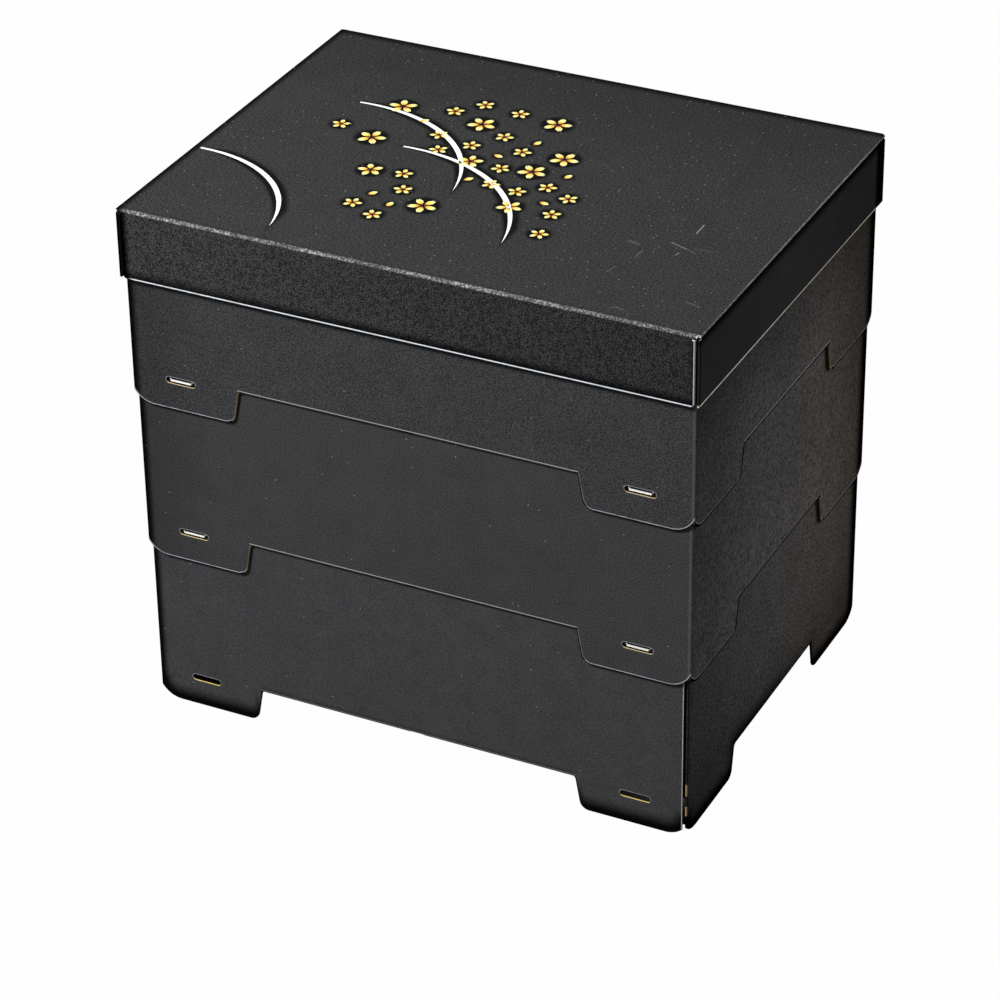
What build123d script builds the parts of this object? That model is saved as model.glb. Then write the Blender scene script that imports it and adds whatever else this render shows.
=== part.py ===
from build123d import *
import os
from math import sqrt

# Three-tier gift box of creased board, shaped like a stacking jubako, with a lift-off lid.
# Millimetres, Z up, origin on the ground under the middle of the box, front towards -Y.

# The whole box
lid_length = 230.0
lid_depth = 174.0
lid_height = 28.0
tier_pitch = 66.0

# The board and how closely one tray goes over another
board = 0.8
fit_gap = 0.3
cut_bevel = 0.3
cut_bevel_angle = 45
fold_radius_share = 0.85

# Feet, measured from the outside corner of a tray
foot_width = 45.0
foot_height = 14.0
foot_lean = 2.5
toe_radius = 4.0
crotch_radius = 1.5
corner_arc_radius = 10.0
corner_arc_rise = 5.0

# Lock slots in the front and back feet, and the tongues that sit in the ones away from the seam
slot_length = 12.5
slot_height = 2.7
slot_inset = 20.5
slot_drop = 1.6
tongue_width = 10.6
tongue_chamfer = 1.1
tongue_recess = 0.1

# Floor flaps
flap_corner_radius = 3.0
floor_seam_gap = 1.0

# Glued corners
corner_gap = 1.7
glue_flap_width = 16.0
glue_flap_lean = 5.0
glue_flap_clearance = 2.0
lid_tab_width = 15.0
lid_tab_lean = 4.0
lid_tab_clearance = 1.0
lid_flap_corner_radius = 1.6
relief_radius = 1.1

# Sizes that follow
fold_radius = board * fold_radius_share
flap_crease = foot_height - board
rim_height = tier_pitch + flap_crease
lid_step = board + board + fit_gap
tier_step = board + fit_gap
top_length = lid_length - 2 * lid_step
top_depth = lid_depth - 2 * lid_step
lid_under = 2 * tier_pitch + rim_height
lid_top = lid_under + board
cut_through = 2 * board

# Each side of a tray: its name, its turn about Z, and whether it runs the long way
sides = (("front", 0, True), ("right", 90, False), ("back", 180, True), ("left", 270, False))


def ground(angle, height):
    """Level plane of one side, X to the right seen from outside, Y towards the middle."""
    return Plane.XY.offset(height).rotated((0, 0, angle))


def upright(angle, height, reach):
    """Upright plane of one side at a distance from the middle, facing outwards."""
    level = ground(angle, height)
    return Plane(origin=level.origin - level.y_dir * reach, x_dir=level.x_dir, z_dir=-level.y_dir)


def save(piece, label):
    """Name a finished piece and write it."""
    piece.part.label = label
    export_step(piece.part, "parts/" + label + ".step")


def wall_outline(half, crease):
    """A wall seen from outside: two feet, the raised crease between them and the rim."""
    corner_run = sqrt(corner_arc_radius**2 - (corner_arc_radius - corner_arc_rise) ** 2)
    with BuildLine() as line:
        FilletPolyline(
            (0, crease),
            (half - foot_width, crease),
            (half - foot_width + foot_lean, 0),
            (half - corner_run, 0),
            radius=[crotch_radius, toe_radius],
        )
        RadiusArc((half - corner_run, 0), (half, corner_arc_rise), -corner_arc_radius)
        Polyline(
            (half, corner_arc_rise),
            (half + board, corner_arc_rise),
            (half + board, rim_height),
            (0, rim_height),
            (0, crease),
        )
    make_face(line.edges())
    mirror(about=Plane.YZ)


def wall_plan(start, end, reach, round_left, round_right):
    """A wall seen from above, rounded on the outside where the board is folded."""
    with Locations(((start + end) / 2, board / 2 - reach)):
        corner = Rectangle(end - start, board).vertices().group_by(Axis.Y)[0].sort_by(Axis.X)
    if round_left:
        fillet(corner[0], fold_radius)
    if round_right:
        fillet(corner[-1], fold_radius)


def floor_outline(half, reach, edge, shoulder_radius):
    """A floor flap seen from above: narrow at its crease, wide once it is past the feet."""
    crease_half = half - foot_width
    hinge = board - reach
    shoulder = hinge + foot_height
    end = -floor_seam_gap / 2
    with BuildLine() as line:
        FilletPolyline(
            (0, hinge),
            (crease_half, hinge),
            (crease_half + foot_lean, shoulder),
            (edge, shoulder),
            (edge, end),
            (0, end),
            radius=[0, toe_radius, shoulder_radius, flap_corner_radius],
        )
        Line((0, end), (0, hinge))
    make_face(line.edges())
    mirror(about=Plane.YZ)


def tier(name, base, length, depth, seam_side):
    """One tray: four walls in a ring, a glued seam and four floor flaps."""
    order = [side for side, turn, runs_long in sides]
    glued_side = order[(order.index(seam_side) + 1) % len(order)]

    for side, turn, runs_long in sides:
        half = length / 2 if runs_long else depth / 2
        reach = depth / 2 if runs_long else length / 2
        crease = foot_height if runs_long else flap_crease

        with BuildPart() as wall:
            with BuildSketch(upright(turn, base, reach - board)):
                wall_outline(half, crease)
            extrude(amount=board - cut_bevel)
            with BuildSketch(upright(turn, base, reach - cut_bevel)):
                wall_outline(half, crease)
            extrude(amount=cut_bevel, taper=cut_bevel_angle)
            with BuildSketch(ground(turn, base)):
                if side == seam_side:
                    wall_plan(-half, half - corner_gap, reach, True, False)
                elif runs_long:
                    wall_plan(-half, half, reach, True, True)
                else:
                    wall_plan(board - half, half - board, reach, side == glued_side, False)
            extrude(amount=rim_height, mode=Mode.INTERSECT)
            if runs_long:
                with BuildSketch(upright(turn, base, reach - cut_through)):
                    slot_place = half - slot_inset
                    with Locations(
                        (-slot_place, foot_height - slot_drop), (slot_place, foot_height - slot_drop)
                    ):
                        SlotOverall(slot_length, slot_height)
                extrude(amount=cut_through, mode=Mode.SUBTRACT)
        save(wall, name + "_" + side + "_wall")

        with BuildPart() as flap:
            if runs_long:
                with BuildSketch(ground(turn, base + foot_height)):
                    floor_outline(half, reach, half - tier_step, flap_corner_radius)
                extrude(amount=board)
            else:
                away = 1 if order[order.index(side) - 1] == seam_side else -1
                floor_end = half - tier_step
                tongue_tip = half - tongue_recess
                tongue_fall = slot_drop - board / 2
                tongue_near = slot_inset - tongue_width / 2 - reach
                tongue_far = slot_inset + tongue_width / 2 - reach
                with BuildSketch(upright(turn, base + foot_height, 0)):
                    with BuildLine():
                        Polyline(
                            (-away * floor_end, 0),
                            (away * floor_end, 0),
                            (away * tongue_tip, -tongue_fall),
                            (away * tongue_tip, -tongue_fall - board),
                            (away * floor_end, -board),
                            (-away * floor_end, -board),
                            (-away * floor_end, 0),
                        )
                    make_face()
                extrude(amount=reach)
                with BuildSketch(ground(turn, base)):
                    floor_outline(half, reach, floor_end, 0)
                    with BuildLine():
                        Polyline(
                            (away * (half - foot_width), tongue_near),
                            (away * (tongue_tip - tongue_chamfer), tongue_near),
                            (away * tongue_tip, tongue_near + tongue_chamfer),
                            (away * tongue_tip, tongue_far - tongue_chamfer),
                            (away * (tongue_tip - tongue_chamfer), tongue_far),
                            (away * (half - foot_width), tongue_far),
                            (away * (half - foot_width), tongue_near),
                        )
                    make_face()
                extrude(amount=foot_height, mode=Mode.INTERSECT)
        save(flap, name + "_" + side + "_floor_flap")

        if side == seam_side:
            flap_low = foot_height + board + glue_flap_clearance
            flap_high = rim_height - glue_flap_clearance
            crease_line = half - board
            free_edge = crease_line - glue_flap_width
            with BuildPart() as glue_flap:
                with BuildSketch(upright(turn, base, reach - 2 * board)):
                    with BuildLine():
                        Polyline(
                            (crease_line, flap_low),
                            (crease_line, flap_high),
                            (free_edge, flap_high - glue_flap_lean),
                            (free_edge, flap_low + glue_flap_lean),
                            (crease_line, flap_low),
                        )
                    make_face()
                extrude(amount=board)
            save(glue_flap, name + "_glue_flap")


def lid_outline(half, height, corner_radius):
    """A lid flap seen from outside, with its two lower corners cut round if they are free."""
    with BuildLine() as line:
        FilletPolyline((0, 0), (half, 0), (half, height), radius=[corner_radius])
        Polyline((half, height), (0, height), (0, 0))
    make_face(line.edges())
    mirror(about=Plane.YZ)


def lid():
    """The lid: a top panel, four flaps folded down from it and four glued corner tabs."""
    with BuildPart() as panel:
        with BuildSketch(Plane.XY.offset(lid_under)):
            RectangleRounded(lid_length, lid_depth, fold_radius)
        extrude(amount=board)
        fillet(panel.faces().sort_by(Axis.Z)[-1].edges(), fold_radius)
        with BuildSketch(Plane.XY.offset(lid_under - board)):
            with GridLocations(lid_length, lid_depth, 2, 2):
                Circle(relief_radius)
        extrude(amount=board + cut_through, mode=Mode.SUBTRACT)
    save(panel, "lid_top")

    low = lid_top - lid_height
    drop = lid_height - board
    order = [side for side, turn, runs_long in sides]
    for side, turn, runs_long in sides:
        half = lid_length / 2 if runs_long else lid_depth / 2
        reach = lid_depth / 2 if runs_long else lid_length / 2
        flap_end = half - corner_gap if runs_long else half - board
        cut_half = flap_end if runs_long else half
        corner_radius = lid_flap_corner_radius if runs_long else 0
        with BuildPart() as flap:
            with BuildSketch(upright(turn, low, reach - board)):
                lid_outline(cut_half, lid_height, corner_radius)
            extrude(amount=board - cut_bevel)
            with BuildSketch(upright(turn, low, reach - cut_bevel)):
                lid_outline(cut_half, lid_height, corner_radius)
            extrude(amount=cut_bevel, taper=cut_bevel_angle)
            with BuildSketch(ground(turn, low)):
                wall_plan(-flap_end, flap_end, reach, not runs_long, not runs_long)
            extrude(amount=drop, mode=Mode.INTERSECT)
            with BuildSketch(upright(turn, low, reach - cut_through)):
                with Locations((-flap_end, drop), (flap_end, drop)):
                    Circle(relief_radius)
            extrude(amount=cut_through, mode=Mode.SUBTRACT)
        save(flap, "lid_" + side + "_flap")

        if not runs_long:
            continue
        place = order.index(side)
        for end, neighbour in ((-1, order[place - 1]), (1, order[(place + 1) % len(order)])):
            crease_line = end * (half - board)
            free_edge = crease_line - end * lid_tab_width
            with BuildPart() as tab:
                with BuildSketch(upright(turn, low, reach - 2 * board)):
                    with BuildLine():
                        Polyline(
                            (crease_line, lid_tab_clearance),
                            (crease_line, drop),
                            (free_edge, drop - lid_tab_lean),
                            (free_edge, lid_tab_clearance + lid_tab_lean),
                            (crease_line, lid_tab_clearance),
                        )
                    make_face()
                extrude(amount=board)
            save(tab, "lid_glue_tab_" + side + "_" + neighbour)


os.makedirs("parts", exist_ok=True)
for level, name, seam_side in ((0, "bottom", "front"), (1, "middle", "back"), (2, "top", "back")):
    shrink = 2 * (2 - level) * tier_step
    tier(name, level * tier_pitch, top_length - shrink, top_depth - shrink, seam_side)
lid()
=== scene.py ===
# %% [markdown]
# # A three-tier paper gift box, dressed for its picture
#
# The object is a stacking gift box of black printed board: three footed trays that nest on each
# other, and a lift-off lid with blossoms and crescents stamped on it in foil. The shapes come
# packed from the CAD model, where every panel between two creases is a solid of its own. What is
# left for this script is the camera, the light, the finish of each panel and the foil.
#
# Loading comes first, because every later step asks the frame for names and sizes.

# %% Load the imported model
import math

import bpy
from mathutils import Matrix, Vector


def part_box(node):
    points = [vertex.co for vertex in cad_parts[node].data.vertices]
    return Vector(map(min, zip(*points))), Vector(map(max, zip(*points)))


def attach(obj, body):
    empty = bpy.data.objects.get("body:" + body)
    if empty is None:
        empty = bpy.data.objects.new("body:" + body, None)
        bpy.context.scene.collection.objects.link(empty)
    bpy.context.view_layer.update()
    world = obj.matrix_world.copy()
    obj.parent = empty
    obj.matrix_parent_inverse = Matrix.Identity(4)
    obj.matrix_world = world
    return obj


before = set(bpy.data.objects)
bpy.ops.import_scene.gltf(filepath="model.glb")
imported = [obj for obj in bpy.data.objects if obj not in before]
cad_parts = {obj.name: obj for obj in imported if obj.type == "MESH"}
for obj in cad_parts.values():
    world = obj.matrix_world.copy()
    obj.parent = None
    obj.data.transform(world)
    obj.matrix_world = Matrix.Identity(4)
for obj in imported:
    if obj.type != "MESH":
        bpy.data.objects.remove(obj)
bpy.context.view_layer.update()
mm = 0.001

# %% [markdown]
# ## The camera
#
# A camera can be placed by eye, by moving it until the edges line up. Here it was fitted
# instead: the corners of the lid, the feet and the slots were measured in the photograph, and
# the direction, distance and lens that bring the model's own corners closest to them were
# worked out. The numbers below are that fit. The lens axis sits a little above the middle of
# the picture, which is what a small vertical shift does in Blender.

# %% Place the camera
picture_px = 1000
focal_px = 3834.11
axis_px = (500, 430)
sensor_mm = 36
azimuth, elevation, roll = (math.radians(angle) for angle in (26.48, 30.11, -0.8))
aim = Vector((-4.56, 0.85, 100.46)) * mm
distance = 1463.95 * mm


def heading(azimuth, elevation):
    """The direction at an angle round the box, counted from its front, and an angle upwards."""
    level = math.cos(elevation)
    return Vector((math.sin(azimuth) * level, -math.cos(azimuth) * level, math.sin(elevation)))


to_camera = heading(azimuth, elevation)
level_right = Vector((math.cos(azimuth), math.sin(azimuth), 0))
level_up = to_camera.cross(level_right)
view_right = level_right * math.cos(roll) + level_up * math.sin(roll)
view_up = level_up * math.cos(roll) - level_right * math.sin(roll)
eye = aim + to_camera * distance

lens = bpy.data.cameras.new("view")
lens.sensor_width = sensor_mm
lens.lens = sensor_mm * focal_px / picture_px
lens.shift_y = (axis_px[1] - picture_px / 2) / picture_px
lens.clip_start, lens.clip_end = 0.01, 50
camera = bpy.data.objects.new("camera", lens)
view_axes = Matrix((view_right, view_up, to_camera)).transposed()
camera.matrix_world = Matrix.Translation(eye) @ view_axes.to_4x4()
bpy.context.scene.collection.objects.link(camera)
bpy.context.scene.camera = camera
print("lens:", round(lens.lens, 2), "mm, eye:", [round(v, 3) for v in eye])


# %% [markdown]
# ## From a point in the photograph to a point on the box
#
# Foil prints and scratches were measured as pixels. A ray from the camera through such a pixel
# meets the plane of the lid, or of a wall, at exactly one point, so a pixel and a plane give a
# place in metres. This keeps the marks on the surface that carries them, seen from any side.

# %% Cast a pixel onto a plane
to_right, to_back, up = Vector((1, 0, 0)), Vector((0, 1, 0)), Vector((0, 0, 1))


def on_plane(pixel, point, normal):
    """The place where the line of sight through a pixel meets a plane, in metres."""
    right, below = (pixel[i] - axis_px[i] for i in range(2))
    sight = (view_right * right - view_up * below) / focal_px - to_camera
    return eye + sight * ((Vector(point) - eye).dot(normal) / sight.dot(normal))


lid_face_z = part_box("lid_top")[1].z


def on_lid(pixel):
    """A place on the lid's top face, in millimetres across and back."""
    place = on_plane(pixel, up * lid_face_z, up)
    return Vector((place.x, place.y)) / mm


front_right_px = (696.7, 337)
print("front right corner of the lid as seen:", on_lid(front_right_px), "mm")


# %% [markdown]
# ## Writing a finish as sums
#
# A shader is a graph of nodes, and wiring it by hand takes many lines for a small formula. One
# small class wraps a node's output and overloads the operators, so that `1 - mask` adds a Math
# node by itself. A second class holds one material and has a single method that adds any other
# node: its type, then its settings, then what its sockets are fed with.

# %% The socket wrapper and the material wrapper
class Reading:
    """One output of a node, which can be used in sums with numbers and other readings."""

    def __init__(self, graph, socket):
        self.graph, self.socket = graph, socket

    def sum(self, operation, *values):
        return self.graph.add("ShaderNodeMath", {"operation": operation}, dict(enumerate(values)))

    def __add__(self, other):
        return self.sum("ADD", self, other)

    def __sub__(self, other):
        return self.sum("SUBTRACT", self, other)

    def __rsub__(self, other):
        return self.sum("SUBTRACT", other, self)

    def __mul__(self, other):
        return self.sum("MULTIPLY", self, other)

    def __truediv__(self, other):
        return self.sum("DIVIDE", self, other)

    def __gt__(self, other):
        return self.sum("GREATER_THAN", self, other)

    def __lt__(self, other):
        return self.sum("LESS_THAN", self, other)

    def __abs__(self):
        return self.sum("ABSOLUTE", self)

    __radd__, __rmul__ = __add__, __mul__

    def least(self, other):
        return self.sum("MINIMUM", self, other)

    def most(self, other):
        return self.sum("MAXIMUM", self, other)

    def hypot(self, other):
        """The length of the slope over two sides of a right angle."""
        return self.sum("SQRT", self * self + other * other)

    def ramp(self, near, far, start, end):
        """The value start up to near, the value end from far on, and smooth in between."""
        ends = {"From Min": near, "From Max": far, "To Min": start, "To Max": end}
        smooth = {"interpolation_type": "SMOOTHSTEP"}
        return self.graph.add("ShaderNodeMapRange", smooth, {"Value": self, **ends})

    def rise(self, near, far):
        return self.ramp(near, far, 0, 1)

    def fall(self, near, far):
        return self.ramp(near, far, 1, 0)

    def dot(self, direction):
        """How far a vector reaches in a direction."""
        ends = {0: self, 1: tuple(direction)}
        return self.graph.add("ShaderNodeVectorMath", {"operation": "DOT_PRODUCT"}, ends, "Value")


class Graph:
    """The nodes of one material or world."""

    def __init__(self, owner):
        owner.use_nodes = True
        self.tree = owner.node_tree

    def add(self, kind, settings=None, inputs=None, output=0):
        """Adds a node of any kind, settings first and then its sockets."""
        node = self.tree.nodes.new(kind)
        for key, value in (settings or {}).items():
            setattr(node, key, value)
        for key, value in (inputs or {}).items():
            self.feed(node.inputs[key], value)
        return Reading(self, node.outputs[output])

    def feed(self, socket, value):
        if isinstance(value, Reading):
            self.tree.links.new(value.socket, socket)
        elif socket.type == "RGBA":
            socket.default_value = (*value, 1)
        else:
            socket.default_value = value

    def straight(self):
        """1 for what is seen directly, in a mirror or through glass, 0 for all other light."""
        seen, mirrored, through = (
            self.add("ShaderNodeLightPath", output=f"Is {kind} Ray")
            for kind in ("Camera", "Glossy", "Transmission"))
        return seen.most(mirrored).most(through)


class Finish(Graph):
    """One material: its shader, and the readings that every finish on this box starts from."""

    def __init__(self, name):
        self.material = bpy.data.materials.new(name)
        super().__init__(self.material)
        self.shader = self.tree.nodes["Principled BSDF"]
        self.place = self.add("ShaderNodeTexCoord", output="Object")
        self.normal = self.add("ShaderNodeNewGeometry", output="True Normal")

    def set(self, **values):
        """Feeds the shader's own sockets; an underscore stands for a space."""
        for key, value in values.items():
            self.feed(self.shader.inputs[key.replace("_", " ")], value)

    def blend(self, share, under, over):
        """One colour laid over another."""
        return self.add("ShaderNodeMix", {"data_type": "RGBA"}, {0: share, 6: under, 7: over}, 2)

    def tint(self, colour, strength):
        """A colour made darker or lighter by a reading."""
        grey = self.add("ShaderNodeCombineXYZ", None, {0: strength, 1: strength, 2: strength})
        multiply = {"data_type": "RGBA", "blend_type": "MULTIPLY"}
        return self.add("ShaderNodeMix", multiply, {0: 1.0, 6: colour, 7: grey}, 2)

    def reach(self, direction):
        """How far a point lies from the middle of the box in a direction, in millimetres."""
        return self.place.dot(direction / mm)

    def noise(self, size_mm, detail=2.0, seed=0.0):
        """Cloudy noise with features of about one size, around a half."""
        return self.add(
            "ShaderNodeTexNoise", {"noise_dimensions": "4D"},
            {"Vector": self.place, "W": seed, "Scale": 1 / (size_mm * mm), "Detail": detail})


print("wrappers ready")

# %% [markdown]
# ## The board's printed side, its back and its cut edges
#
# All three trays and the lid are creased board: black and matt outside, taken as plain black
# inside, and pale at every cut, where the knife goes through the print into the core. A model
# can carry this as one colour per piece, but then the cut edges, which draw the outline of
# every foot in the photograph, would be lost. So each panel is told which way its printed side
# faces, and its finish finds out for every point whether it is print, back or cut from the
# direction of the surface there.

# %% Colours of the board, and a panel's finish
print_black = (0.036, 0.036, 0.0365)
tray_black = (0.0415, 0.0423, 0.0440)
core_cream = (0.66, 0.50, 0.24)
# The grey of the cut edges, and of the painted highlight along the creases.
edge_and_highlight_grey = (0.50, 0.49, 0.54)
inside_black = (0.018, 0.018, 0.018)
speck_white = (0.40, 0.40, 0.39)
grain_depth_m = 0.00006


def board(name, outward, tone=1.0, grain=1.0, seed=0.0, grain_mm=0.5, sheen=0.015):
    """Starts a panel's finish: print with a fine grain, rough, with a faint sheen."""
    finish = Finish(name)
    finish.facing = finish.normal.dot(outward)
    finish.rising = abs(finish.normal.dot(up))
    fibres = finish.noise(grain_mm, 2, seed)
    clouds = finish.noise(9, 2, seed + 1)
    mottle = 1 + (fibres - 0.5) * (2.6 * grain) + (clouds - 0.5) * 0.35
    finish.shade = mottle.most(0.15) * tone
    finish.shader.inputs["Specular IOR Level"].default_value = sheen
    relief = {"Strength": 0.25, "Distance": grain_depth_m, "Height": fibres}
    bump = finish.add("ShaderNodeBump", None, relief)
    finish.set(Roughness=0.62 + (fibres - 0.5) * 0.3, Normal=bump)
    return finish


def close_board(finish, colour, pale_edge=core_cream, folded=None, shaded=0):
    """Lays the cut edges, with as much painted shade as shaded asks, and the inside over a panel's
    print and sends it to the shader.
    """
    cut = abs(finish.facing).fall(0.45, 0.6)
    if folded is not None:
        cut = cut * (1 - folded * finish.rising.fall(0.4, 0.6))
    inside = (0 - finish.facing).rise(0.45, 0.6)
    fibres = finish.noise(0.3, 2, 7.0)
    core = finish.tint(pale_edge, (0.75 + fibres * 0.5) * (1 - shaded))
    lining = finish.tint(inside_black, 0.7 + fibres * 0.6)
    colour = finish.blend(cut, colour, core)
    finish.set(Base_Color=finish.blend(inside, colour, lining))
    return finish.material


def specks(finish, share=0.06, spacing_mm=2.2, radius=0.12):
    """Dust and tiny chips: one bright dot in some of the cells of a random mesh."""
    cells = {"Vector": finish.place, "Scale": 1 / (spacing_mm * mm)}
    reach = finish.add("ShaderNodeTexVoronoi", None, cells, "Distance")
    lot = finish.add("ShaderNodeTexVoronoi", None, cells, "Color").dot((1, 0, 0))
    return reach.fall(radius * 0.5, radius) * (lot < share)


def dress(node, material):
    """Gives a CAD node its finish through its own material slots."""
    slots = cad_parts[node].data.materials
    slots.clear()
    slots.append(material)


print("board colours and finish ready")

# %% [markdown]
# ## Tray walls: sizes and sides
#
# A tray wall is one flat panel with two feet and a raised crease between them. Its finish has to
# know where the outline of the feet runs, which could be painted by hand on an unwrapped panel.
# It is worked out from the panel's own sizes instead, so that it fits every tray. They are
# repeated here in millimetres. Each wall is read from outside: `outwards` is the way it faces,
# and `sideways` is to the right.

# %% Sizes of a tray wall, and its four sides
tier_names = ("bottom", "middle", "top")
foot_height, foot_width, foot_lean, toe_radius = 14.0, 45.0, 2.5, 4.0
arc_radius, arc_rise = 10.0, 5.0
arc_run = math.sqrt(arc_radius**2 - arc_rise**2)
board_mm, fold_mm, seam_gap = 0.8, 0.72, 1.7
slot_length, slot_height, slot_inset, slot_drop = 12.5, 2.7, 20.5, 1.6
slot_level = foot_height - slot_drop
outwards = {"front": -to_back, "right": to_right, "back": to_back, "left": -to_right}
sideways = {side: up.cross(out) for side, out in outwards.items()}
seam_side = {"bottom": "front", "middle": "back", "top": "back"}
after_seam = {"front": "right", "back": "left"}
print("walls:", len(tier_names) * len(outwards), "corner arc:", round(arc_run, 2), "mm along")

# %% [markdown]
# ## Where a point lies on a wall
#
# Everything that happens on a wall happens at some distance from a fold, a cut or the floor. So
# each distance is worked out once per wall, as a reading, and the steps after this one only say
# what is laid at which distance. The outline of a foot has a toe and a corner arc, and the
# distance to a rounded corner is the radius less the distance to its centre.

# %% Measure a tray wall
class Wall:
    """One wall of a tray: its finish, and how far each point is from its edges in millimetres."""

    def __init__(self, tier, side, finish):
        self.finish, self.level = finish, tier_names.index(tier)
        self.long, self.lowest = side in ("front", "back"), tier == "bottom"
        self.seam = side == seam_side[tier]
        self.beside_seam = side == after_seam[seam_side[tier]]
        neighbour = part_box(f"{tier}_{'left' if self.long else 'front'}_wall")[0]
        self.half = abs(neighbour.dot(sideways[side])) / mm
        low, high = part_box(f"{tier}_{side}_wall")
        outer = (low if side in ("front", "left") else high).dot(outwards[side]) / mm
        self.deep = outer - finish.reach(outwards[side])
        self.along = finish.reach(sideways[side])
        self.height = finish.reach(up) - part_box(f"{tier}_front_wall")[0].z / mm
        self.out = abs(self.along)
        self.from_left, self.from_right = self.along + self.half, self.half - self.along
        self.measure_foot(foot_height if self.long else foot_height - board_mm)

    def measure_foot(self, crease):
        """How far inside the outline of a foot a point is, and which part of it is nearest."""
        self.foot_start = self.half - foot_width
        arc_in = (self.out - (self.half - arc_run)).most(0)
        self.low_edge = arc_radius - arc_in.hypot((arc_radius - self.height).most(0))
        inner_edge = self.out - self.foot_start - (crease - self.height) * (foot_lean / crease)
        toe_in, toe_up = ((toe_radius - edge).most(0) for edge in (inner_edge, self.low_edge))
        self.to_cut = toe_radius - toe_in.hypot(toe_up)
        self.above_crease = self.height - crease
        self.above_foot = self.height.rise(6, 13)
        in_foot = self.height.fall(crease - 0.3, crease + 0.1)
        at_side = inner_edge < self.low_edge
        self.on_side, self.on_low = in_foot * at_side, in_foot * (1 - at_side)


print("foot:", foot_width, "x", foot_height, "mm")

# %% [markdown]
# ## Painted shade of the walls
#
# The print is one black, but the photograph shows it darker beside its folds, along the outline
# of the box and at the feet, and on the short walls browner towards the back. Lamps alone don't
# give that on so dark a board, so it is painted: painted shade, some painted light, and on the
# short walls a painted sheen, brown towards the back and even over the rest. Each change is a
# smooth step between two distances, and the steps are multiplied together, the way thin washes
# of paint darken each other. So the words `from_left.ramp(1.2, 4.4, 0.03, 1)` say: almost black
# up to 1.2 mm from the left end, and untouched from 4.4 mm on.

# %% Painted shade of a long wall and of a short wall
painted_sheen_brown = (0.049, 0.0415, 0.035)


def long_painted_shade(wall):
    """How bright the print of a front or back wall is: painted shade by the left fold, and on the
    bottom tray at the feet and above the crease.
    """
    shade = wall.finish.shade * wall.from_left.ramp(1.2, 4.4, 0.03, 1)
    if not wall.lowest:
        return shade * wall.from_left.ramp(2, 38, 0.76, 1)
    # Painted shade at the feet and toes of the bottom tray, and above its crease between the feet.
    shade = shade * (wall.low_edge.rise(1.8, 8.5).most(wall.above_foot) * 0.98 + 0.02)
    shade = shade * (wall.to_cut.rise(0.3, 3.4).most(wall.above_foot) * 0.7 + 0.3)
    return shade * (1 - wall.above_crease.fall(0.6, 3.0) * 0.4 * (wall.out < wall.foot_start))


def short_painted_shade(wall):
    """How bright the print of a side wall is: a grained part and an even painted sheen, both faded
    by painted light and shade.
    """
    left, right, height = wall.from_left, wall.from_right, wall.height
    grained = left.rise(1.0, 60.0) * 0.22 + left.ramp(1.0, 6.0, 0.42, 0.72)
    grained = grained * right.ramp(8, 65, 0.62, 0.98) * right.ramp(4, 28, 0.6, 1)
    grained = grained * height.ramp(22, 54, 1, 0.78)
    grained = grained * (wall.finish.noise(18, 3, 6.0) * 0.7 + 0.65)
    # An even painted sheen, standing in for the sheen that the side walls' shader has not got.
    painted_sheen_part = (0.62, 0.75, 0.9)[wall.level]
    # Painted light and shade, one fade for each tray, then painted shade at the far end and by the
    # fold.
    fade = (
        height.ramp(5, 55, 0.68, 1.18) * left.ramp(15, 90, 0.84, 1),
        right.ramp(0, 40, 0.76, 1),
        height.ramp(5, 62, 0.96, 0.63) * right.ramp(0, 60, 0.62, 1),
    )[wall.level]
    fade = fade * right.ramp(3.0, 10.0, 0.015, 1)
    least = (0.84, 0.80, 0.80)[wall.level]
    fade = fade * left.ramp(3, 60, least, least + 0.14)
    if wall.lowest:
        # Painted shade at the bottom tray's feet and round the notch between them.
        fade = fade * (wall.low_edge.rise(1.8, 9.8).most(wall.above_foot) * 0.98 + 0.02)
        to_notch = (wall.out - wall.foot_start).most(0).hypot(wall.above_crease.most(0))
        fade = fade * (1 - to_notch.fall(-0.5, 9.5) * wall.along.ramp(-25, 62, 0.98, 0.16))
    return (wall.finish.shade * (grained + painted_sheen_part * 0.6) + painted_sheen_part * 0.4) * fade


print("shades ready")

# %% [markdown]
# ## Rims of the feet and of the crease
#
# In the photograph the outline of a tray shows as a thin lilac-grey line along the feet and the
# crease, yellow on the side of a foot that faces us, with a black line at its outer edge. Along
# the feet the pale line is the cut, wider than the cut itself because the knife drags the film
# down and leaves a bruised rim, with a painted highlight on it; along the crease the grey line
# is a painted highlight. The black lines are painted shadow. A bevel of the mesh would be too
# narrow to show the rim, so it is laid over the print by distance. The line is broken up with
# noise, and each tray has its own strength of it.

# %% Lay the rims over the print
# Painted shadow: the black of the lines beside the rims.
painted_shadow_black = (0, 0, 0)


def lay(wall, colour, mask, share, over):
    """Lays a colour over another where the mask is, if this wall has a share of it."""
    return wall.finish.blend(mask * share, colour, over) if share else colour


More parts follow.
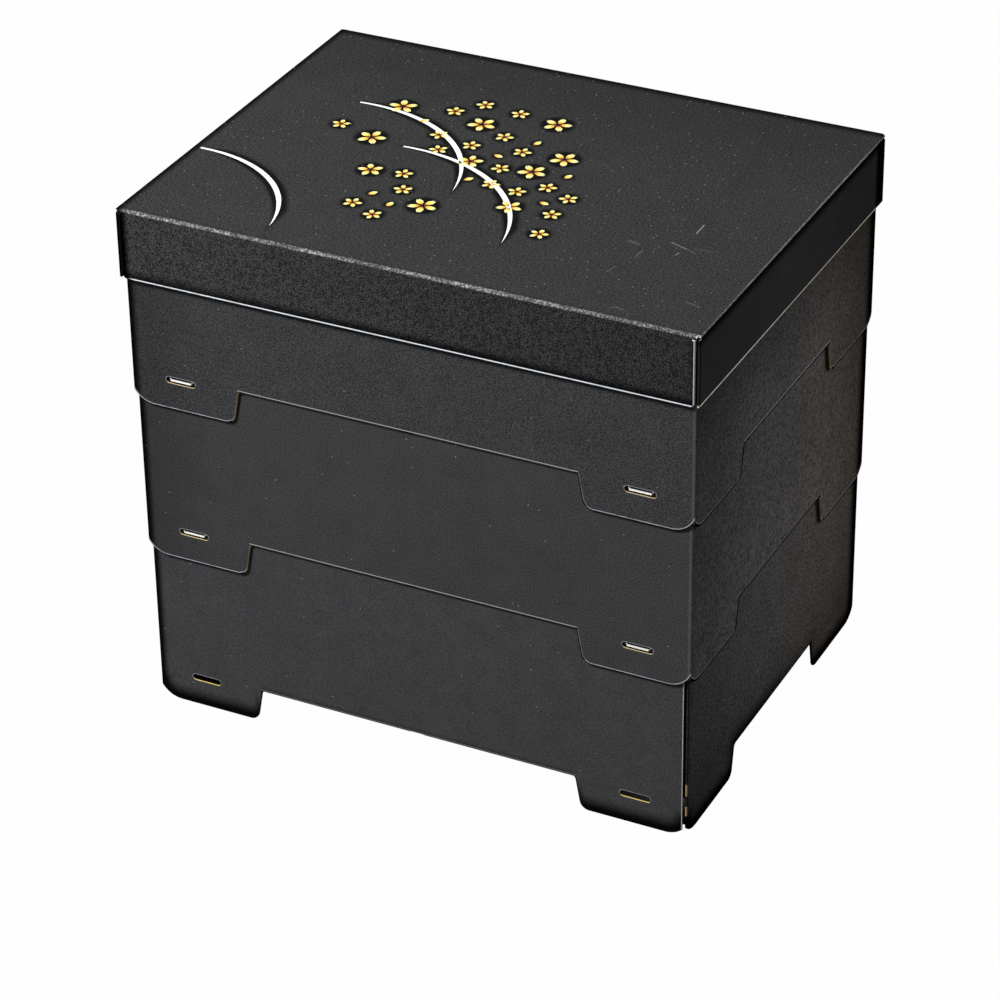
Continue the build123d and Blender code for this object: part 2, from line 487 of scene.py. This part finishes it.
def draw_rims(wall, colour):
    """The grey and yellow rims round the feet and the crease: the crease's grey is a painted
    highlight, and each black line is painted shadow.
    """
    shadow_line_mm = 0.4 if wall.long else 1.0
    crease_highlight_share = ((0.25, 0.75, 0.75) if wall.long else (0, 0.12, 0.5))[wall.level]
    low_share = 0 if wall.lowest else 0.85 if wall.long else 0.3
    pale_share = 0 if wall.lowest else 0.5
    away_share = 0.25 if wall.long and not wall.lowest else 0
    broken = wall.finish.noise(5, 3, 9.0).ramp(0.3, 0.55, 0.5, 1)
    # The grey line along the crease is a painted highlight, with a painted shadow line under it.
    at_crease = wall.out < wall.foot_start + 0.6
    at_crease = at_crease * wall.above_crease.fall(shadow_line_mm + 0.25, shadow_line_mm + 0.45)
    colour = lay(wall, colour, at_crease, crease_highlight_share, edge_and_highlight_grey)
    line = wall.above_crease.fall(shadow_line_mm - 0.05, shadow_line_mm + 0.1)
    colour = wall.finish.blend(at_crease * line, colour, painted_shadow_black)
    rim = wall.to_cut.fall(shadow_line_mm + 0.22, shadow_line_mm + 0.45) * wall.on_low * broken
    colour = lay(wall, colour, rim, low_share, edge_and_highlight_grey)
    line = wall.to_cut.fall(shadow_line_mm - 0.05, shadow_line_mm + 0.1)
    colour = wall.finish.blend(line * wall.on_low, colour, painted_shadow_black)
    facing_us = (wall.along < 0) if wall.long else (wall.along > 0)
    rim = wall.to_cut.fall(0.3, 0.45) * wall.on_side * broken * facing_us
    colour = lay(wall, colour, rim, pale_share, core_cream)
    away = wall.on_side * (1 - facing_us)
    rim = wall.to_cut.fall(0.85, 1.1) * away * broken
    colour = lay(wall, colour, rim, away_share, edge_and_highlight_grey)
    line = wall.to_cut.fall(shadow_line_mm + 0.1, shadow_line_mm + 0.4 if wall.long else 1.5)
    return wall.finish.blend(line * away, colour, painted_shadow_black)


print("rims ready")

# %% [markdown]
# ## Slots, seam and folds
#
# A front or back foot has a lock slot with a pale ring, stronger on its upper side. The bottom
# tray is glued at the corner nearest to us: its front wall ends in a cut, and behind the gap the
# glue shows in two short brown marks, placed by their pixels. The other corners are folded, and
# a fold towards us carries a painted highlight, a soft grey line.

# %% Lay the slot, the seam and the fold over the print
seam_marks = (((690.8, 786), (690.8, 798)), ((690.8, 808), (690.8, 818)))
# The fold's grey is a painted highlight.
fold_highlight_grey, cut_pink, glue_brown = (0.14, 0.14, 0.15), (0.75, 0.66, 0.66), (0.55, 0.36, 0.17)


def slot_distance(wall):
    """How far outside the lock slot a point is, in millimetres."""
    straight = (slot_length - slot_height) / 2
    slot_run = (abs(wall.out - (wall.half - slot_inset)) - straight).most(0)
    return slot_run.hypot(wall.height - slot_level) - slot_height / 2


def draw_slot(wall, colour):
    """The pale ring round the lock slot."""
    share = wall.height.ramp(slot_level - 0.8, slot_level + 0.6, 0.2, 0.8)
    return wall.finish.blend(slot_distance(wall).fall(0.0, 0.28) * share, colour, edge_and_highlight_grey)


def draw_fold_highlight(wall, colour):
    """A painted highlight: the grey line along the folded corner on the wall's right."""
    fold_highlight = wall.from_right.fall(0.3, 1.3) * wall.from_right.rise(-0.1, 0.3)
    share = wall.finish.noise(1.2, 3, 3.0) * 0.5 + 0.1
    return wall.finish.blend(fold_highlight * share, colour, fold_highlight_grey)


def draw_seam(wall, colour):
    """The pale cut end of the wall at the glued seam."""
    cut_end = (wall.from_right - seam_gap).fall(0.05, 0.35)
    return wall.finish.blend(cut_end * 0.8, colour, cut_pink)


def draw_glue(wall, colour):
    """Two brown marks of glue beside the seam of the bottom tray."""
    behind_gap = to_back * ((board_mm - wall.half) * mm)
    for pixels in seam_marks:
        high, low = (on_plane(pixel, behind_gap, to_back).z / mm for pixel in pixels)
        reach = (high - low) / 2
        mark = abs(wall.height - (high + low) / 2).fall(reach - 0.3, reach)
        mark = mark * wall.from_left.fall(1.1, 1.3)
        colour = wall.finish.blend(mark * 0.8, colour, glue_brown)
    return colour


print("slots, seams and folds ready")

# %% [markdown]
# ## Dress the walls
#
# The twelve walls are cut from the same board, and one material could serve them all. But
# each faces its own way and has its own painted light and shade and its own marks, so the steps
# are put together once per wall.
# The seed differs from tray to tray, so that no two trays show the same grain. Where the
# board is folded, its rounded corner is print and not core, and the finish is told so.

# %% Dress the twelve walls
low_cut_grey, ring_gold, shaded_cut_black = (0.55, 0.52, 0.46), (0.85, 0.66, 0.17), (0.02, 0.02, 0.02)


def folded_ends(wall):
    """Where a wall's end is a fold, which keeps its print, and not a cut."""
    if not wall.long:
        return wall.from_left < board_mm + fold_mm if wall.beside_seam else None
    left = wall.from_left < fold_mm
    return left if wall.seam else left.most(wall.from_right < fold_mm)


for level, tier in enumerate(tier_names):
    for side in outwards:
        # The tones differ by side and by tray as painted light and shade; the side walls are
        # darker.
        if side in ("front", "back"):
            look = {"tone": (1.2, 1.1, 1.03)[level], "grain": (0.9, 1.2, 1.6)[level]}
        else:
            look = {"tone": (0.86, 1.0, 0.86)[level], "grain": 1.5, "grain_mm": 0.9, "sheen": 0.0}
        finish = board(f"{tier}_{side}_print", outwards[side], seed=level * 4.0, **look)
        wall = Wall(tier, side, finish)
        cut_colour = core_cream
        if wall.long:
            colour = finish.tint(tray_black, long_painted_shade(wall))
        else:
            # Browner towards the back: a painted sheen.
            tone = finish.blend(wall.along.rise(-40, 75) * 0.9, tray_black, painted_sheen_brown)
            colour = finish.tint(tone, short_painted_shade(wall))
        colour = finish.blend(specks(finish) * 0.8, colour, speck_white)
        if wall.long and not wall.seam:
            colour = draw_fold_highlight(wall, colour)
        colour = draw_rims(wall, colour)
        if wall.long:
            colour = draw_slot(wall, colour)
        if wall.seam:
            colour = draw_seam(wall, colour)
        if wall.lowest and wall.beside_seam:
            colour = draw_glue(wall, colour)
        if wall.lowest and wall.long:
            in_ring = slot_distance(wall) < 1
            cut_colour = finish.blend(in_ring, low_cut_grey, ring_gold)
        elif wall.lowest:
            # Painted shade: the cuts of the bottom tray's side walls are black.
            cut_colour = shaded_cut_black
        # Painted shade on the inner part of every cut face.
        shaded = wall.deep.rise(0.25, 0.45) * 0.92
        material = close_board(finish, colour, cut_colour, folded_ends(wall), shaded)
        dress(f"{tier}_{side}_wall", material)
print("walls dressed:", len(tier_names) * len(outwards))

# %% [markdown]
# ## Floor flaps and glue flaps
#
# These are the panels that nobody looks at: four floor flaps lock the bottom of each tray, one
# glue flap closes its seam, and four tabs close the corners of the lid. The floor flaps fold
# under with their printed side down, and the glued ones lie print-out behind the next wall.
# One plain black would nearly do for them. They get the finish of the other panels, because a
# lifted tray shows them and the white ends of the tongues look out of the slots.

# %% Finish the hidden panels
tongue_white = (0.97, 0.96, 0.92)
tongues_aside, front_tips, back_tips, over_low_floor = 75, 83, -82, 20

finish = board("floor_print", -up, seed=3.0)
aside, forward = abs(finish.reach(to_right)), finish.reach(-to_back)
low_back_tips = (forward < back_tips) * (finish.reach(up) < over_low_floor)
tips = (aside > tongues_aside) * (forward > front_tips).most(low_back_tips)
edge = finish.blend(tips, core_cream, tongue_white)
colour = finish.tint(print_black, finish.shade)
floor_print = close_board(finish, colour, edge, shaded=(1 - tips) * 0.55)
for tier in tier_names:
    for side in outwards:
        dress(f"{tier}_{side}_floor_flap", floor_print)

behind = {"front": ["bottom_glue_flap"], "back": ["middle_glue_flap", "top_glue_flap"]}
for side, flaps in behind.items():
    # The glued flaps are toned far down: painted shade for the narrow gaps they show through.
    finish = board(f"glued_{side}_print", outwards[side], tone=0.12, seed=5.0, sheen=0.0)
    colour = finish.tint(print_black, finish.shade)
    glued_print = close_board(finish, colour, folded=finish.rising < 0.5)
    for piece in flaps + [f"lid_glue_tab_{side}_{end}" for end in ("left", "right")]:
        dress(piece, glued_print)
print("hidden panels dressed")

# %% [markdown]
# ## The lid's flaps
#
# The four flaps of the lid hang from its folds. Their lower edges are fresh cuts that catch the
# light, and at the front corners the front flap ends in a cut of its own, a little before the
# corner, where the side flap's fold shows behind it. As on the trays, painted shade and light and
# the rims are laid by distance, and the rim fades out where the photograph loses it near a
# corner, where the cut is painted in shade. The right end of a front or back flap carries a
# painted highlight, and the side flaps get a lower tone as painted shade.

# %% Finish the lid's flaps
lid_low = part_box("lid_front_flap")[0].z / mm
lid_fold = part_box("lid_top")[0].z / mm
corner_white, rim_cream, flap_core = (0.86, 0.90, 0.97), (0.85, 0.80, 0.66), (0.70, 0.68, 0.62)


def long_flap_painted_shade_and_end(finish, left, right, height):
    """The painted shade and light on the lid's front or back flap, and where its cut end shows."""
    shade = finish.shade * finish.noise(1.7, 2, 25.0).ramp(0.34, 0.6, 0.6, 1.1)
    shade = shade * left.ramp(1.2, 4.2, 0.03, 1) * height.ramp(1.0, 5.0, 0.18, 1)
    shade = shade * right.ramp(0.3, 3.0, 0.5, 1) * right.ramp(10, 230, 1.05, 1.43)
    relief_ring = right.hypot(height - (lid_fold - lid_low)).fall(1.35, 1.55)
    # The pale right end is the cut with a painted highlight; the ring is the relief cut.
    end = right.fall(0.35, 0.55).most(relief_ring * right.fall(0.8, 1.2))
    return shade, end


def side_flap_painted_shade(finish, along, right, height):
    """The painted shade on the print of one of the lid's side flaps."""
    shade = finish.shade * right.ramp(6.0, 9.5, 0.05, 1)
    return shade * height.ramp(22.0, 26.4, 1, 0.14) * along.ramp(-20, 85, 1, 0.58)


for side in outwards:
    half = abs(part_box(f"lid_{side}_flap")[0].dot(sideways[side]) / mm)
    runs_long = side in ("front", "back")
    # The side flaps' lower tone is painted shade.
    look = {"tone": 0.80, "grain": 3.1} if runs_long else {"tone": 0.66, "grain": 0.5}
    finish = board(f"lid_{side}_print", outwards[side], seed=20.0, sheen=0.0, **look)
    along, height = finish.reach(sideways[side]), finish.reach(up) - lid_low
    left, right = along + half, half - along
    broken = finish.noise(4, 3, 9.0).ramp(0.25, 0.5, 0.65, 1)
    near_corner = left.fall(2.0, 5.0) if runs_long else right.fall(4.0, 9.0)
    rim = height.fall(0.6, 0.85) * (1 - near_corner) * broken
    if runs_long:
        shade, end = long_flap_painted_shade_and_end(finish, left, right, height)
        rim, rim_colour, folded = rim.most(end) * 0.95, corner_white, None
    else:
        shade = side_flap_painted_shade(finish, along, right, height)
        rim, rim_colour = rim * along.ramp(-85, 40, 1, 0.5), rim_cream
        folded = (left < fold_mm + board_mm).most(right < fold_mm + board_mm)
    colour = finish.tint(print_black, shade)
    colour = finish.blend(specks(finish) * 0.7, colour, speck_white)
    colour = finish.blend(rim, colour, rim_colour)
    material = close_board(finish, colour, flap_core, folded, near_corner * 0.95)
    dress(f"lid_{side}_flap", material)
print("lid flaps dressed")

# %% [markdown]
# ## Where the foil lies
#
# The lid carries thirty blossoms, eight loose petals and three crescents. Their places are
# listed here, before the lid's top is finished, because the print is a shade darker in a narrow
# zone round the stamped foil. Each place is a pixel of the photograph; a blossom also has its
# reach in millimetres and its turn in degrees, and a crescent three pixels along its middle
# line, its greatest width, where that lies, and how wide it starts.

# %% Places of blossoms, petals and crescents
large, medium, small = 5.7, 5.0, 3.7
blossoms = (
    ((403.0, 106.5), large, 82), ((371.7, 137.3), large, 59), ((370.4, 169.7), medium, 90),
    ((422.7, 205.7), large, 36), ((481.9, 124.5), large, 38), ((470.4, 161.4), medium, 73),
    ((557.7, 125.1), large, 60), ((564.4, 159.7), large, 48), ((532.2, 172.0), large, 37),
    ((509.3, 207.0), medium, 41), ((341.1, 123.8), small, 75), ((403.6, 173.8), small, 74),
    ((402.8, 189.6), small, 85), ((352.5, 202.4), small, 58), ((372.4, 214.4), small, 97),
    ((455.4, 111.3), small, 81), ((485.5, 105.2), small, 94), ((439.3, 134.8), small, 33),
    ((471.2, 145.5), small, 73), ((438.4, 149.6), small, 97), ((490.8, 184.2), small, 59),
    ((520.2, 114.4), small, 77), ((504.6, 137.2), small, 60), ((522.3, 152.4), small, 61),
    ((500.6, 168.5), small, 39), ((547.5, 187.8), small, 62), ((516.7, 191.8), small, 73),
    ((568.4, 199.3), small, 24), ((551.5, 214.8), small, 81), ((538.9, 234.1), small, 61),
)
loose_petals = (
    ((372.4, 193.2), 30), ((389.5, 204.4), 55), ((468.1, 179.2), 25), ((424.0, 120.8), 20),
    ((537.1, 143.6), 45), ((497.9, 155.9), -40), ((567.9, 177.1), 45), ((543.8, 203.3), -40),
)
crescent_shapes = (
    ((200.8, 147.6), (268.4, 178.2), (268.9, 226.1), 2.0, 0.55, 0.5),
    ((360.2, 102.1), (440.5, 131.5), (452, 191.4), 2.1, 0.5, 0.4),
    ((403.6, 146.3), (481.0, 174.0), (500.9, 243.5), 2.1, 0.55, 0.4),
)


def circle_through(start, middle, end):
    """The centre and radius of the circle through three pixels, in millimetres on the lid."""
    a, b, c = on_lid(start), on_lid(middle), on_lid(end)
    ab, ac = b - a, c - a
    turn = 2 * (ab.x * ac.y - ab.y * ac.x)
    offset = Vector((ac.y * ab.length_squared - ab.y * ac.length_squared,
                     ab.x * ac.length_squared - ac.x * ab.length_squared)) / turn
    centre = a + offset
    return centre, (a - centre).length


print("blossoms:", len(blossoms), "petals:", len(loose_petals), "crescents:", len(crescent_shapes))

# %% [markdown]
# ## The lid's top: print and foil zone
#
# The top is the panel that the camera sees best: a smooth matt print with some dust. It gets
# painted shade along its left, back and front edges and towards the back, and it is darker round
# the foil. The distance to the foil is the least of the distances to all its circles, one per
# blossom or petal and one per crescent. A crescent is only a part of its circle, so behind its
# ends the distance is made to grow.

# %% Print the lid's top
finish = board("lid_top_print", up, tone=0.86, grain=1.5, seed=30.0, grain_mm=0.8)
across, depth = finish.reach(to_right), finish.reach(to_back)
half_length, half_depth = (abs(v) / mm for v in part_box("lid_top")[0].xy)
from_front, from_back = depth + half_depth, half_depth - depth
from_left, from_right = across + half_length, half_length - across
petal_zone, crescent_zone, behind_ends = 1.6, 2.3, 10


def beyond(centre, reach_mm):
    """How far outside a circle on the lid a point is, in millimetres; negative inside."""
    ends = {0: finish.place, 1: (centre.x * mm, centre.y * mm, lid_face_z)}
    distance = finish.add("ShaderNodeVectorMath", {"operation": "DISTANCE"}, ends, "Value")
    return distance / mm - reach_mm


def beyond_crescent(start, middle, end):
    """How far outside the zone of a crescent a point is."""
    centre, radius = circle_through(start, middle, end)
    chord = on_lid(end) - on_lid(start)
    outward = Vector((-chord.y, chord.x)).normalized()
    outward = outward if outward.dot(on_lid(middle) - on_lid(start)) > 0 else -outward
    behind = on_lid(start).dot(outward) - across * outward.x - depth * outward.y
    return abs(beyond(centre, radius)) + (behind + behind_ends).most(0) * 0.3 - crescent_zone


circles = [(pixel, size) for pixel, size, turn in blossoms]
circles += [(pixel, petal_zone) for pixel, turn in loose_petals]
zones = [beyond(on_lid(pixel), reach_mm) for pixel, reach_mm in circles]
zones += [beyond_crescent(*shape[:3]) for shape in crescent_shapes]
to_foil = zones[0]
for zone in zones[1:]:
    to_foil = to_foil.least(zone)
shade = finish.shade * to_foil.ramp(-0.2, 2.2, 0.1, 1)
# Painted shade along the left, back and front edges, and towards the back.
shade = shade * from_left.ramp(1.2, 4.2, 0.05, 1) * from_back.ramp(1.4, 6.0, 0.05, 1)
shade = shade * from_front.ramp(1.2, 4.0, 0.75, 1) * depth.ramp(15, 85, 1.02, 0.82)
colour = finish.tint(print_black, shade)
colour = finish.blend(specks(finish, share=0.3) * 0.75, colour, speck_white)
print("zones round the foil:", len(zones))

# %% [markdown]
# ## The lid's top: scratches
#
# A used lid has scratches, here a few near the front right corner. A random texture would put
# them anywhere. Each one that can be seen is laid where it is instead, as a straight stroke
# between two pixels with its width in millimetres and its strength.

# %% Scratch the lid's top
scratch_grey = (0.25, 0.25, 0.24)
scratches = (
    ((696.6, 233.4), (704.1, 225.3), 0.35, 0.9), ((671.9, 242.6), (686, 249), 0.35, 0.6),
    ((686, 249), (695.5, 253.5), 0.35, 0.25), ((606.5, 271.8), (615, 266.5), 0.35, 0.25),
    ((635, 257), (642.7, 250.6), 0.35, 0.3), ((630, 241), (638, 244), 1.3, 0.15),
    ((675.4, 255.2), (678.8, 252.9), 0.35, 0.6), ((695.5, 248.9), (712.7, 252.3), 0.45, 0.15),
    ((686.3, 301.7), (699.5, 307.4), 0.35, 0.3), ((609.4, 308), (616.3, 306.9), 0.35, 0.2),
    ((616.3, 306.9), (623.7, 310.3), 0.35, 0.25),
)


def stroke(start, end, width_mm):
    """A mask along a straight scratch between two pixels of the lid's top."""
    first, last = on_lid(start), on_lid(end)
    middle, run = (first + last) / 2, (last - first).normalized()
    aside = Vector((-run.y, run.x))
    lengthwise = abs(finish.reach(run.to_3d()) - middle.dot(run)) - (last - first).length / 2
    sidewise = finish.reach(aside.to_3d()) - middle.dot(aside)
    return lengthwise.most(0).hypot(sidewise).fall(width_mm * 0.3, width_mm)


for start, end, width_mm, strength in scratches:
    colour = finish.blend(stroke(start, end, width_mm) * strength, colour, scratch_grey)
print("scratches:", len(scratches))

# %% [markdown]
# ## The lid's top: folds and corner
#
# Along a fold the film is stretched and rubbed through. In the photograph the front fold is
# scuffed in specks, partly wear and partly a painted highlight, the right one is a thin bright
# line that is a painted highlight, and the relief cut at the nearest corner shows the pale core.
# Noise decides where the scuffs and highlights are strong, and the distance to the fold keeps
# them narrow.

# %% Scuff the folds and paint their highlights
front_scuff_highlight_grey, side_highlight_grey, relief_grey = (0.42, 0.42, 0.41), (0.34, 0.35, 0.36), (0.10, 0.10, 0.10)
# Scuffs on the front fold, partly wear and partly a painted highlight.
scuffs_and_highlight = finish.noise(0.7, 3, 11.0).rise(0.46, 0.64)
wear_and_highlight = finish.noise(12, 2, 12.0).ramp(0.3, 0.7, 0.45, 1)
front_scuff_and_highlight = from_front.fall(0.9, 2.0) * from_left.rise(1.5, 7.0) * wear_and_highlight * (scuffs_and_highlight * 0.86 + 0.14)
colour = finish.blend(front_scuff_and_highlight, colour, front_scuff_highlight_grey)
# A painted highlight: the thin bright line on the right fold.
side_fold_highlight = from_right.fall(0.1, 0.45) * depth.fall(55, 84) * (scuffs_and_highlight * 0.6 + 0.24)
colour = finish.blend(side_fold_highlight, colour, side_highlight_grey)
to_corner = (half_length - abs(across)).hypot(half_depth - abs(depth))
near_corner = to_corner.fall(1.25, 1.4) * (across > 0) * (depth < 0)
colour = finish.blend(near_corner, colour, corner_white)
everywhere = finish.rising > -1
dress("lid_top", close_board(finish, colour, relief_grey, everywhere))
print("lid top dressed")

# %% [markdown]
# ## Foil: thin pieces that ride on the lid
#
# The ornament is hot-stamped foil, a film a few hundredths of a millimetre thick that stands
# a hair above the print. It could be painted in the lid's shader, but thirty blossoms of five
# petals would need hundreds of nodes. As thin pieces of mesh they stay sharp at any distance.
# All outlines of one foil become one mesh, and each corner keeps a tint for the finish.

# %% Make a piece of foil
foil_mm = 0.02


def foil_piece(name, outlines, height_mm):
    """A set of thin closed slabs lying on the lid; an outline has millimetres and a tint in z."""
    mesh = bpy.data.meshes.new(name)
    corners, tints, faces = [], [], []
    base = lid_face_z + height_mm * mm
    for outline in outlines:
        count = len(outline)
        lower = [len(corners) + i for i in range(count)]
        upper = [i + count for i in lower]
        for z in (base, base + foil_mm * mm):
            corners += [(point.x * mm, point.y * mm, z) for point in outline]
            tints += [point.z for point in outline]
        faces += [upper, lower[::-1]]
        for i in range(count):
            after = (i + 1) % count
            faces.append([lower[i], lower[after], upper[after], upper[i]])
    mesh.from_pydata(corners, [], faces)
    mesh.attributes.new("tint", "FLOAT", "POINT").data.foreach_set("value", tints)
    piece = bpy.data.objects.new(name, mesh)
    bpy.context.scene.collection.objects.link(piece)
    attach(piece, "lid")
    return piece


print("foil:", foil_mm, "mm thick")

# %% [markdown]
# ## Crescents
#
# Each crescent is a slender moon whose middle line is a part of a circle. It starts blunt, grows
# to its greatest width and ends in a point. Two arcs of different circles would be the plain way
# to draw it, but the point would come at both ends. So its width is worked out step by step.

# %% Crescents
crescent_steps, tip_power, crescent_lift = 48, 2.2, 0.004


def crescent_width(share, widest_share, start_share):
    """The width at a share of the length, where 1 is the greatest width."""
    if share < widest_share:
        ease = share / widest_share
        return start_share + (1 - start_share) * ease * (2 - ease)
    return 1 - ((share - widest_share) / (1 - widest_share)) ** tip_power


def crescent(start, middle, end, widest_mm, widest_share, start_share):
    """A crescent whose middle line is a circle through three pixels, pointed at its end."""
    centre, radius = circle_through(start, middle, end)
    first, last = ((on_lid(pixel) - centre) for pixel in (start, end))
    from_angle, to_angle = math.atan2(first.y, first.x), math.atan2(last.y, last.x)
    outer, inner = [], []
    for i in range(crescent_steps + 1):
        share = i / crescent_steps
        angle = from_angle + (to_angle - from_angle) * share
        width = widest_mm * crescent_width(share, widest_share, start_share)
        direction = Vector((math.cos(angle), math.sin(angle)))
        outer.append(centre + direction * (radius + width / 2))
        if i < crescent_steps:
            inner.append(centre + direction * (radius - width / 2))
    print("crescent radius:", round(radius, 1), "mm")
    return [point.to_3d() for point in inner + outer[::-1]]


moons = [crescent(*shape) for shape in crescent_shapes]
crescents = foil_piece("silver_crescents", moons, crescent_lift)

# %% [markdown]
# ## Blossoms and loose petals
#
# A cherry blossom has five petals at even turns, each with a notch in its tip. One petal is
# worked out as half an outline and mirrored, and the blossoms repeat it. A traced outline would
# fit one blossom only. A loose petal is the same outline at one size. The tint is 0 at the
# heart of a petal and 1 at its tip.

# %% Blossoms
petals_each, petal_steps, blossom_lift = 5, 12, 0.03
heart_share, width_share, notch_share = 0.10, 0.45, 0.2
bulge_skew, bulge_power, tip_share, notch_tint = 1.2, 0.75, 0.14, 0.85
loose_half, loose_width, loose_notch = 2.1, 2.2, 0.2


def petal(centre, angle, near, far, width, notch):
    """One petal: an oval that is widest past its middle, with a small notch at its tip."""
    direction = Vector((math.cos(angle), math.sin(angle)))
    across = Vector((-direction.y, direction.x))
    half = [(near, 0.0, 0.0)]
    for i in range(1, petal_steps):
        share = i / petal_steps
        bulge = math.sin(math.pi * share ** bulge_skew) ** bulge_power
        half.append((near + (far - near) * share, bulge * width / 2, share))
    half.append((far, width * tip_share, 1.0))
    half.append((far - notch, 0.0, notch_tint))
    other = [(reach, -aside, share) for reach, aside, share in half[1:-1]]
    return [
        (centre + direction * reach + across * aside).to_3d() + up * share
        for reach, aside, share in half[::-1] + other]


outlines = []
for pixel, size, turn in blossoms:
    for k in range(petals_each):
        angle = math.radians(turn + 360 / petals_each * k) + azimuth
        near, width, notch = heart_share * size, width_share * size, notch_share * size
        outlines.append(petal(on_lid(pixel), angle, near, size, width, notch))
for pixel, turn in loose_petals:
    angle = math.radians(turn) + azimuth
    loose = petal(on_lid(pixel), angle, -loose_half, loose_half, loose_width, loose_notch)
    outlines.append(loose)
gold = foil_piece("gold_blossoms", outlines, blossom_lift)
print("petals:", len(outlines))

# %% [markdown]
# ## Foil finishes
#
# A mirror-like foil would show whatever stands round the box. In the photograph both foils look
# soft and bright, so they are only partly metallic. The silver has one colour. The gold runs
# from a dark heart through orange to yellow, and follows the tint along each petal; the pale
# yellow towards the tips is a painted highlight.

# %% Foil finishes
heart_brown, petal_orange = (0.12, 0.03, 0.01), (0.92, 0.45, 0.02)
petal_yellow, tip_highlight_yellow, silver_white = (1.0, 0.83, 0.18), (1.0, 0.93, 0.58), (1.0, 1.0, 1.0)
foil_look = {"Metallic": 0.3, "Roughness": 0.4}

silver = Finish("silver_foil")
silver.set(Base_Color=silver_white, **foil_look)
crescents.data.materials.append(silver.material)
yellow = Finish("gold_foil")
tint = yellow.add("ShaderNodeAttribute", {"attribute_name": "tint"}, output="Fac")
colour = yellow.blend(tint.rise(0.25, 0.6), petal_orange, petal_yellow)
# A painted highlight: pale yellow towards the tips.
colour = yellow.blend(tint.rise(0.5, 0.85) * 0.6, colour, tip_highlight_yellow)
colour = yellow.blend(tint.fall(0.08, 0.3), colour, heart_brown)
yellow.set(Base_Color=colour, **foil_look)
gold.data.materials.append(yellow.material)
print("foils finished:", crescents.name, gold.name)

# %% [markdown]
# ## Floor and world
#
# The photograph has a plain white ground. The floor is a pale matt sheet that really takes the
# light, so it keeps the box's shadow and sends some light up the walls. Only what the camera and
# mirror-like surfaces see of it is lifted towards white. The lift stops under the feet and under
# the middle of the box, where a real ground would lie in shadow.

# %% Floor and world
floor_half, floor_drop, ground_grey, ground_lift = 4.0, 0.0002, (0.16, 0.16, 0.16), 0.985
feet_from, feet_from_left, feet_to, feet_in, feet_out = 70, 80, 109, 59, 75.5
sky_level = 0.12

floor_mesh = bpy.data.meshes.new("floor")
corners = [(x * floor_half, y * floor_half, 0) for x, y in ((-1, -1), (1, -1), (1, 1), (-1, 1))]
floor_mesh.from_pydata(corners, [], [(0, 1, 2, 3)])
floor = bpy.data.objects.new("floor", floor_mesh)
floor.location.z = -floor_drop
bpy.context.scene.collection.objects.link(floor)

ground = Finish("white_ground")
ground.set(Base_Color=ground_grey, Roughness=1.0)
ground.shader.inputs["Specular IOR Level"].default_value = 0
across, depth = ground.reach(to_right), ground.reach(to_back)
under_feet = (across > feet_from).most(across < -feet_from_left) * (abs(across) < feet_to)
under_feet = under_feet * (abs(depth) > feet_in) * (abs(depth) < feet_out)
under_box = abs(across).fall(86, 99) * abs(depth).fall(50, 60)
lift = ground.straight() * ground_lift * (1 - under_feet) * (1 - under_box)
lit = ground.add("ShaderNodeEmission", None, {"Color": (1, 1, 1), "Strength": 1.0})
matt = Reading(ground, ground.shader.outputs[0])
mixed = ground.add("ShaderNodeMixShader", None, {0: lift, 1: matt, 2: lit})
ground.feed(ground.tree.nodes["Material Output"].inputs["Surface"], mixed)
floor_mesh.materials.append(ground.material)

world = bpy.data.worlds.new("studio")
bpy.context.scene.world = world
sky = Graph(world)
background = sky.tree.nodes["Background"]
background.inputs["Color"].default_value = (1, 1, 1, 1)
sky.feed(background.inputs["Strength"], sky.straight() * (1 - sky_level) + sky_level)
print("floor:", 2 * floor_half, "m wide, sky:", sky_level)

# %% [markdown]
# ## Lamps
#
# The lid's top and the front are lit softly from the upper left, and the right side only a
# little. A strong lamp in front to the left and above, and a weak one low behind on the right
# do that. A sun would throw hard shadows; these are small squares of light, aimed at the box.

# %% Lamps
lamp_aim = up * 0.1


def softbox(name, azimuth_deg, elevation_deg, distance_m, side_m, power):
    """A square lamp aimed at the middle of the box."""
    lamp = bpy.data.lights.new(name, "AREA")
    lamp.shape, lamp.size, lamp.energy = "SQUARE", side_m, power
    direction = heading(math.radians(azimuth_deg), math.radians(elevation_deg))
    piece = bpy.data.objects.new(name, lamp)
    piece.location = lamp_aim + direction * distance_m
    piece.rotation_euler = direction.to_track_quat("Z", "Y").to_euler()
    bpy.context.scene.collection.objects.link(piece)


softbox("key", azimuth_deg=-38, elevation_deg=48, distance_m=1.6, side_m=0.3, power=38)
softbox("side", azimuth_deg=152, elevation_deg=6, distance_m=0.9, side_m=0.25, power=10)
bpy.context.scene.view_settings.view_transform = "Standard"
print("lamps:", len(bpy.data.lights))
